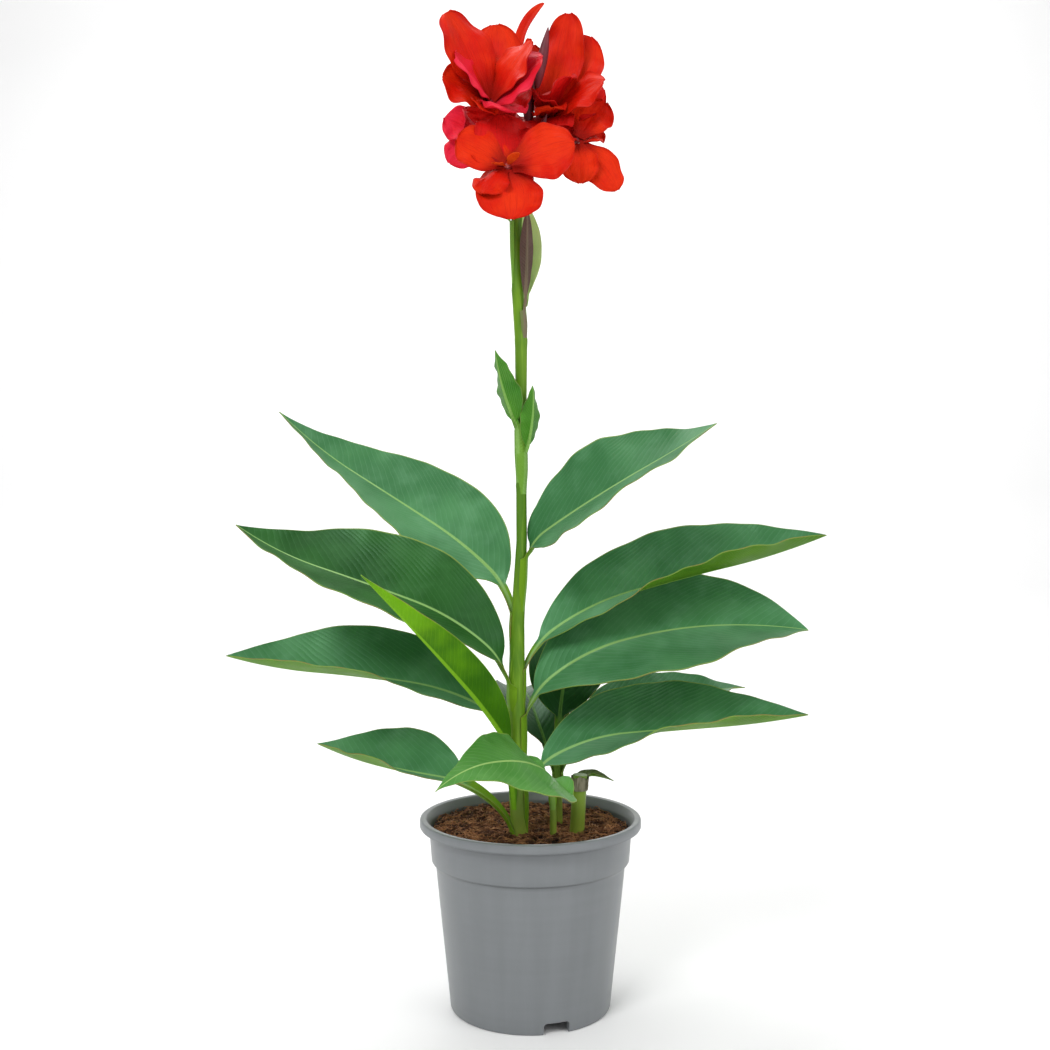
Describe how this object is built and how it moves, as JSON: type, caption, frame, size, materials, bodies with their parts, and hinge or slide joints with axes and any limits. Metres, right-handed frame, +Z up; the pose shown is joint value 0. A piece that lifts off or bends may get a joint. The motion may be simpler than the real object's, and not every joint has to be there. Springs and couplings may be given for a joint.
{
  "type": "canna lily plant",
  "caption": "Potted canna lily: upright leafy stem with broad arching leaves, a head of red flowers on top, in a round plastic nursery pot of fibrous mix.",
  "frame": {"origin": "on the floor, on the pot's axis, which is also the middle of the plant's spread", "axes": "+Z up the stem; -Y towards the side the front flower faces; +X to the right seen from there"},
  "size_m": [0.5152, 0.2653, 0.8552],
  "materials": {
    "pot_grey": "satin",
    "coir_brown": "matte",
    "rhizome_tan": "matte",
    "stem_green": "satin",
    "dry_grey": "matte",
    "leaf_green": "satin",
    "leaf_dark": "satin",
    "leaf_light": "satin",
    "leaf_young": "satin",
    "leaf_olive": "satin",
    "bract_pale": "satin",
    "bract_purple": "satin",
    "bud_purple": "satin",
    "petal_red": "satin",
    "petal_pink": "satin",
    "stamen_orange": "satin",
    "calyx_red": "satin"
  },
  "bodies": {
    "root": {"bract_green": "stem_green", "bract_pale": "bract_pale", "bract_purple": "bract_purple", "bud_low": "bud_purple", "bud_middle": "bud_purple", "bud_tall": "bud_purple", "flower_front_petal_1": "petal_red", "flower_front_petal_2": "petal_red", "flower_front_petal_3": "petal_red", "flower_front_petal_4": "petal_red", "flower_front_stamen": "stamen_orange", "flower_front_style": "stamen_orange", "flower_front_tube": "calyx_red", "flower_left_petal_1": "petal_pink", "flower_left_petal_2": "petal_pink", "flower_left_petal_3": "petal_pink", "flower_left_tube": "calyx_red", "flower_lower_right_petal_1": "petal_red", "flower_lower_right_petal_2": "petal_red", "flower_lower_right_petal_3": "petal_red", "flower_lower_right_tube": "calyx_red", "flower_right_petal_1": "petal_red", "flower_right_petal_2": "petal_red", "flower_right_petal_3": "petal_red", "flower_right_petal_4": "petal_red", "flower_right_tube": "calyx_red", "flower_top_left_petal_1": "petal_red", "flower_top_left_petal_2": "petal_red", "flower_top_left_petal_3": "petal_red", "flower_top_left_petal_4": "petal_red", "flower_top_left_petal_5": "petal_red", "flower_top_left_tube": "calyx_red", "leaf_back_dark": "leaf_dark", "leaf_back_right": "leaf_green", "leaf_back_tall": "leaf_dark", "leaf_front": "leaf_light", "leaf_lowest_left": "leaf_green", "leaf_lowest_right": "leaf_green", "leaf_second_left": "leaf_green", "leaf_second_right": "leaf_green", "leaf_small_olive": "leaf_olive", "leaf_third_left": "leaf_green", "leaf_third_right": "leaf_green", "leaf_twisted": "stem_green", "leaf_upper_left": "leaf_green", "leaf_upper_right": "leaf_green", "leaf_young_rolled": "leaf_young", "main_stem": "stem_green", "petal_curled": "petal_red", "pot": "pot_grey", "potting_mix": "coir_brown", "rhizome": "rhizome_tan", "shoot_cut": "stem_green", "shoot_cut_collar": "dry_grey", "shoot_middle": "stem_green", "shoot_thin": "stem_green"}
  },
  "joints": []
}
